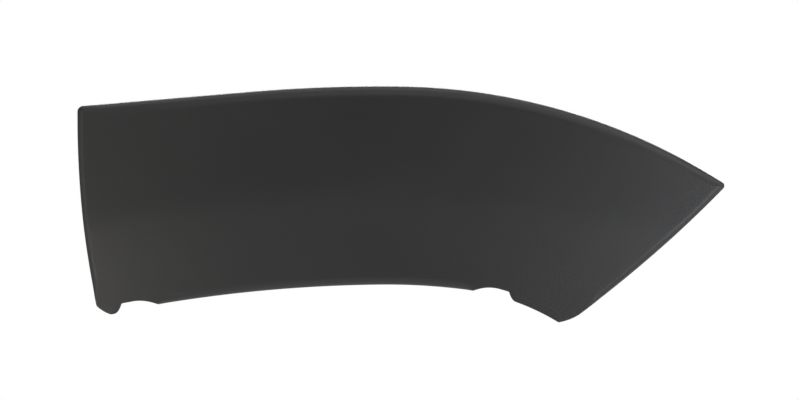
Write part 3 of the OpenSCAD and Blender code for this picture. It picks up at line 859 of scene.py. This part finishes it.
def moulded_plastic(name, colour, roughness, cell, bump, cloud):
    """Dark moulded plastic with its grain, as deep and as fine as asked."""
    material = bpy.data.materials.new(name)
    material.use_nodes = True
    tree = material.node_tree
    shader = tree.nodes["Principled BSDF"]
    link = tree.links.new
    grain, flow = tree.nodes.new("ShaderNodeGroup"), tree.nodes.new("ShaderNodeGroup")
    grain.node_tree, flow.node_tree = GRAIN, FLOW
    grain.inputs["Cell size"].default_value = cell
    flow.inputs["Contrast"].default_value = cloud
    tinted = tree.nodes.new("ShaderNodeMix")
    tinted.data_type, tinted.blend_type = "RGBA", "MULTIPLY"
    tinted.inputs["Factor"].default_value = 1.0
    tinted.inputs["A"].default_value = (*colour, 1)
    link(swung(tree, flow.outputs["Cloud"], 1.0, TONE_SWING), tinted.inputs["B"])
    link(tinted.outputs["Result"], shader.inputs["Base Color"])
    link(swung(tree, flow.outputs["Cloud"], roughness, GLOSS_SWING), shader.inputs["Roughness"])
    relief = tree.nodes.new("ShaderNodeBump")
    relief.inputs["Strength"].default_value = bump
    relief.inputs["Distance"].default_value = GRAIN_DEPTH
    link(grain.outputs["Height"], relief.inputs["Height"])
    link(relief.outputs["Normal"], shader.inputs["Normal"])
    shader.inputs["IOR"].default_value = 1.49
    return material


grained = moulded_plastic(
    "grained_outside", (0.0362, 0.0362, 0.0358), roughness=0.46, cell=0.0006, bump=0.5, cloud=1.0
)
plain = moulded_plastic(
    "plain_back", (0.034, 0.034, 0.0342), roughness=0.38, cell=0.0016, bump=0.16, cloud=1.4
)


# The pieces


# Edges that turn by more than these angles, in degrees, stay sharp.
SHELL_CREASE, FIXING_CREASE = 30, 35


def settled(thing, name, crease):
    """The thing as a plain mesh: its modifiers worked in, its faces turned outwards and its
    rounded parts shaded smooth."""
    bpy.context.view_layer.update()
    depsgraph = bpy.context.evaluated_depsgraph_get()
    mesh = bpy.data.meshes.new_from_object(thing.evaluated_get(depsgraph))
    mesh.name = name
    old = thing.data
    bpy.data.objects.remove(thing)
    bpy.data.meshes.remove(old)
    work = bmesh.new()
    work.from_mesh(mesh)
    bmesh.ops.recalc_face_normals(work, faces=work.faces)
    work.to_mesh(mesh)
    work.free()
    mesh.shade_smooth()
    mesh.set_sharp_from_angle(angle=math.radians(crease))
    return made_object(name, mesh)


def nodes_on(thing, tree, **values):
    """Puts a node tree on a thing and gives it both finishes and what else it takes."""
    modifier = thing.modifiers.new(tree.name, "NODES")
    modifier.node_group = tree
    values.update(Outside=grained, Back=plain)
    for item in tree.interface.items_tree:
        if item.item_type == "SOCKET" and item.in_out == "INPUT" and item.name in values:
            modifier[item.identifier] = values[item.name]


def fixings(name, piece, places):
    """Copies of one moulded-on piece. places holds (x, y, z, turn, stretch), in millimetres."""
    model = piece.make(name + "_model")
    mesh = bpy.data.meshes.new(name + "_places")
    mesh.from_pydata([[c / MM_PER_METRE for c in p[:3]] for p in places], [], [])
    turns = [a for p in places for a in p[3]]
    stretches = [p[4] for p in places]
    mesh.attributes.new("turn", "FLOAT_VECTOR", "POINT").data.foreach_set("vector", turns)
    mesh.attributes.new("stretch", "FLOAT", "POINT").data.foreach_set("value", stretches)
    thing = made_object(name + "_places", mesh)
    nodes_on(thing, FIXING_TREE, Piece=model)
    thing = settled(thing, name, FIXING_CREASE)
    bpy.data.objects.remove(model)
    return thing


def sweep_y(x):
    """Where the body panel lies, as the rule of the face has it."""
    return FACE["Sweep radius"] - math.sqrt(FACE["Sweep radius"] ** 2 - x * x)


def face_y(p):
    """Where the outer face lies at a place, as the rule of the face has it."""
    radius, slope = FACE["Ridge line radius"], math.tan(math.radians(FACE["Flank angle"]))
    line = FACE["Ridge top"] - radius + math.sqrt(radius**2 - (p[0] - FACE["Ridge middle"]) ** 2)
    rounding = FACE["Ridge rounding"] * slope**2
    rise = math.hypot(rounding, slope * (p[1] - line)) - rounding
    return sweep_y(p[0]) - FACE["Stand-off"] + rise


def tower_stations():
    """How far along the upper edge the clip towers lie."""
    ends, last = (TOWER_MARGIN, upper.length - TOWER_MARGIN), TOWER_COUNT - 1
    return [mix(*ends, i / last) for i in range(TOWER_COUNT)]


def tower_places():
    """A clip tower at each station, with the seat of its clip near the body panel."""
    places = []
    for s in tower_stations():
        p, h = upper.at(s)
        x, z = p + inward(h) * TOWER_INSET
        places.append((x, sweep_y(x) - CLIP_GAP, z, (0, -h, 0), 1.0))
    return places


def pin_places():
    """A locating pin at each of its places, set out from the body panel."""
    return [(x, sweep_y(x), z, (0, 0, 0), 1.0) for x, z in PIN_PLACES]


def rib_places():
    """Ribs square to the upper edge, half-way between the towers."""
    places = []
    stations = tower_stations()
    for one, two in zip(stations, stations[1:]):
        high, h = upper.at((one + two) / 2)
        down = h - math.pi / 2
        near, far, halvings = 0.0, lower.length, 30
        for _ in range(halvings):
            mid = (near + far) / 2
            x, z = lower.at(mid)[0] - high
            left_of_line = x * math.sin(down) > z * math.cos(down)
            near, far = (mid, far) if left_of_line else (near, mid)
        start = high + unit(down) * (TOP_ROLL + RIB_GAP)
        span = math.dist(lower.at(near)[0], start) - LIP_ROLL - RIB_GAP
        places.append((start[0], 0, start[1], (0, -down, 0), span))
    return places


def hole_stations():
    """How far along the lower edge the screw holes lie."""
    ends = LEFT_DIP_TO + SCREW_MARGIN, RIGHT_NOTCH_AT - SCREW_MARGIN
    return [mix(*ends, i / (SCREW_COUNT - 1)) for i in range(SCREW_COUNT)]


def hole_places():
    """Screw holes in the flange: each place, and the turn that sets Z square to the flange."""
    places = []
    for s in hole_stations():
        p, h = lower.at(s)
        start = face_y(p) + LIP_ROLL
        span = sweep_y(p[0]) + FLANGE_REACH - start
        y = sweep_y(p[0]) + SCREW_OUT
        x, z = p - inward(h) * FLANGE_LEAN * (y - start) / span
        places.append((x, y, z, (math.atan(FLANGE_LEAN / span), -h, 0), 1.0))
    return places


def gusset_places():
    """A gusset on each side of a screw hole."""
    places = []
    for s in hole_stations():
        for d in (-GUSSET_AT, GUSSET_AT):
            p, h = lower.at(s + d)
            x, z = p - inward(h) * WALL / 2
            places.append((x, 0, z, (0, -h - math.pi / 2, 0), 1.0))
    return places


def ejector_places():
    """Two rows of ejector marks, clear of ribs, towers, pins and edges. Each is set out by its
    distance from the upper edge and by how far aside of a tower it lies."""
    from_towers = ((58, -22), (58, 24), (112, -30), (112, 26))
    left, right, low, from_pins = -215, 225, -70, 20
    places = []
    for s in tower_stations():
        for d, aside in from_towers:
            p, h = upper.at(s + aside)
            x, z = p + inward(h) * d
            clear = all(math.dist((x, z), pin) > from_pins for pin in PIN_PLACES)
            if clear and left < x < right and z > low:
                places.append((x, 0, z, (0, 0, 0), 1.0))
    return places


def screw_drill():
    """Cylinders that cut the screw holes through the flange."""
    ends_at, splits = (-3.0, 6.0), 48
    drill = Net()
    for x, y, z, turn, _ in hole_places():
        across, side, up = (np.array(v) for v in Euler(turn).to_matrix().transposed())
        ends = []
        for height in ends_at:
            circle = []
            for i in range(splits):
                a, b = SCREW_D / 2 * unit(2 * math.pi * i / splits)
                circle.append(drill.add((x, y, z) + a * across + b * side + height * up))
            ends.append(circle)
        drill.band(*ends)
        drill.face(*reversed(ends[0]))
        drill.face(*ends[1])
    return drill.make("screw_drill")


SHELL_TREE, FIXING_TREE = shell_tree(), fixing_tree()

shell = shell_net().make("trim_shell_net")
nodes_on(shell, SHELL_TREE)
shell = settled(shell, "drawn_shell", SHELL_CREASE)
drill = screw_drill()
cut = shell.modifiers.new("Screw holes", "BOOLEAN")
cut.operation, cut.solver, cut.object = "DIFFERENCE", "EXACT", drill
trim_shell = settled(shell, "trim_shell", SHELL_CREASE)
bpy.data.objects.remove(drill)

pieces = [
    trim_shell,
    fixings("clip_towers", clip_tower(), tower_places()),
    fixings("locating_pins", locating_pin(), pin_places()),
    fixings("flange_gussets", flange_gusset(), gusset_places()),
    fixings("cross_ribs", cross_rib(), rib_places()),
    fixings("screw_pads", screw_pad(), hole_places()),
    fixings("ejector_marks", ejector_mark(), ejector_places()),
]
for piece in pieces:
    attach(piece, "root")
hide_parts("arch_trim")


# The studio


NEUTRAL, WARM, COOL = (1, 1, 1), (1.0, 0.965, 0.92), (0.94, 0.955, 1.0)
MIDDLE, RIGHT_PART = (0, 0, 0), (0.25, 0, 0)
# Each lamp: its name, place and size in metres, its watts, its colour and where it is aimed.
LAMPS = (
    ("over_and_behind", (0.05, 0.6, 1.7), (2.4, 0.5), 8.2, NEUTRAL, MIDDLE),
    ("over_and_before", (0.05, -0.8, 1.6), (2.4, 0.4), 6.9, NEUTRAL, MIDDLE),
    ("behind", (-0.2, 2.2, 0.7), (2.0, 1.0), 34, NEUTRAL, MIDDLE),
    ("high_left", (-1.1, -1.5, 0.9), (0.6, 0.5), 2.0, NEUTRAL, MIDDLE),
    ("high_right", (1.3, 0.2, 1.1), (0.6, 0.6), 2.9, NEUTRAL, RIGHT_PART),
    ("left_side", (-1.7, -0.8, 0.1), (0.7, 1.4), 5.3, WARM, MIDDLE),
    ("behind_left", (-1.7, 0.4, 0.1), (0.6, 1.2), 1.2, WARM, MIDDLE),
    ("near_left", (-0.6, -0.5, -0.3), (0.2, 0.2), 0.96, WARM, (-0.24, 0, -0.06)),
    ("right_side", (1.6, -0.9, 0.1), (0.7, 1.4), 10.6, COOL, MIDDLE),
    ("behind_right", (1.7, 0.4, 0.0), (0.6, 1.2), 3.1, COOL, MIDDLE),
    ("low_right", (0.6, -0.8, -0.4), (0.3, 0.3), 0.5, COOL, RIGHT_PART),
    ("near_right", (0.62, -0.45, -0.15), (0.15, 0.3), 0.62, COOL, (0.27, 0, 0)),
)
# The dim even light that comes from all round.
SURROUND_GLOW = 0.02
FLOOR_REACH, FLOOR_Z, FLOOR_GREY = 9.0, -0.6, 0.82
# How much grey the camera sees on the floor besides the lamps' light, by its distance out.
FLOOR_LIFT = (
    (0, 0.59), (0.9, 0.6), (1.35, 0.67), (2.0, 0.82), (2.6, 0.88), (4.5, 0.94),
    (FLOOR_REACH, 0.96),
)


def softbox(name, where, size, watts, colour, target):
    """A soft lamp that stays out of the picture itself."""
    lamp = bpy.data.lights.new(name, "AREA")
    lamp.shape, lamp.energy, lamp.color = "RECTANGLE", watts, colour
    lamp.size, lamp.size_y = size
    thing = bpy.data.objects.new(name, lamp)
    thing.visible_camera = False
    thing.location = where
    thing.rotation_euler = (Vector(target) - Vector(where)).to_track_quat("-Z", "Y").to_euler()
    bpy.context.scene.collection.objects.link(thing)


def floor_finish():
    """Plain and pale. Where the lamps fade out, the camera sees it lifted to the white of the
    surround, and a camera below sees through it."""
    material = bpy.data.materials.new("pale_floor")
    material.use_nodes = True
    tree = material.node_tree
    new, link = tree.nodes.new, tree.links.new
    shader = tree.nodes["Principled BSDF"]
    shader.inputs["Base Color"].default_value = (FLOOR_GREY, FLOOR_GREY, FLOOR_GREY, 1)
    shader.inputs["Roughness"].default_value = 0.8
    flat, away = new("ShaderNodeVectorMath"), new("ShaderNodeVectorMath")
    flat.operation, away.operation = "MULTIPLY", "LENGTH"
    flat.inputs[1].default_value = (1, 1, 0)
    link(new("ShaderNodeTexCoord").outputs["Object"], flat.inputs[0])
    link(flat.outputs["Vector"], away.inputs[0])
    share = new("ShaderNodeMath")
    share.operation = "DIVIDE"
    share.inputs[1].default_value = FLOOR_REACH
    link(away.outputs["Value"], share.inputs[0])
    lift = new("ShaderNodeValToRGB")
    stops = lift.color_ramp.elements
    for metres, grey in FLOOR_LIFT:
        if 0 < metres < FLOOR_REACH:
            stop = stops.new(metres / FLOOR_REACH)
        else:
            stop = stops[0 if metres == 0 else -1]
        stop.color = (grey, grey, grey, 1)
    link(share.outputs[0], lift.inputs["Fac"])
    glow, both = new("ShaderNodeEmission"), new("ShaderNodeAddShader")
    link(lift.outputs["Color"], glow.inputs["Color"])
    link(new("ShaderNodeLightPath").outputs["Is Camera Ray"], glow.inputs["Strength"])
    link(shader.outputs[0], both.inputs[0])
    link(glow.outputs[0], both.inputs[1])
    clear, one_sided = new("ShaderNodeBsdfTransparent"), new("ShaderNodeMixShader")
    link(new("ShaderNodeNewGeometry").outputs["Backfacing"], one_sided.inputs["Fac"])
    link(both.outputs[0], one_sided.inputs[1])
    link(clear.outputs[0], one_sided.inputs[2])
    link(one_sided.outputs[0], tree.nodes["Material Output"].inputs["Surface"])
    return material


def pale_floor():
    """A floor well below the trim, which is held up as its wing would hold it."""
    r, z = FLOOR_REACH, FLOOR_Z
    mesh = bpy.data.meshes.new("floor")
    mesh.from_pydata([(-r, -r, z), (r, -r, z), (r, r, z), (-r, r, z)], [], [(0, 1, 2, 3)])
    mesh.materials.append(floor_finish())
    return made_object("floor", mesh)


def white_surround():
    """White where the camera looks past the trim, and a dim even light for everything else."""
    world = bpy.data.worlds.new("surround")
    bpy.context.scene.world = world
    world.use_nodes = True
    tree = world.node_tree
    tree.nodes.clear()
    new, link = tree.nodes.new, tree.links.new
    both = new("ShaderNodeMixShader")
    link(new("ShaderNodeLightPath").outputs["Is Camera Ray"], both.inputs["Fac"])
    for socket, strength in ((1, SURROUND_GLOW), (2, 1.0)):
        light = new("ShaderNodeBackground")
        light.inputs["Color"].default_value = (1, 1, 1, 1)
        light.inputs["Strength"].default_value = strength
        link(light.outputs[0], both.inputs[socket])
    link(both.outputs[0], new("ShaderNodeOutputWorld").inputs["Surface"])


pale_floor()
white_surround()
for lamp in LAMPS:
    softbox(*lamp)

# The camera looks square on at the trim. Its picture is this wide at the ridge, in metres, and
# has this place in its middle.
FROM_RIDGE, RIDGE_Y, WIDTH_SEEN, SENSOR_MM = 4.0, -0.022, 0.67915, 36.0
SEEN_X, SEEN_Z = 0.023375, -0.008075
view = bpy.data.cameras.new("photo_view")
view.sensor_width, view.lens = SENSOR_MM, SENSOR_MM * FROM_RIDGE / WIDTH_SEEN
view.clip_start, view.clip_end = 0.1, 60.0
camera = bpy.data.objects.new("photo_view", view)
bpy.context.scene.collection.objects.link(camera)
camera.location = (SEEN_X, RIDGE_Y - FROM_RIDGE, SEEN_Z)
camera.rotation_euler = (math.pi / 2, 0, 0)
bpy.context.scene.camera = camera
bpy.context.scene.view_settings.view_transform = "Standard"
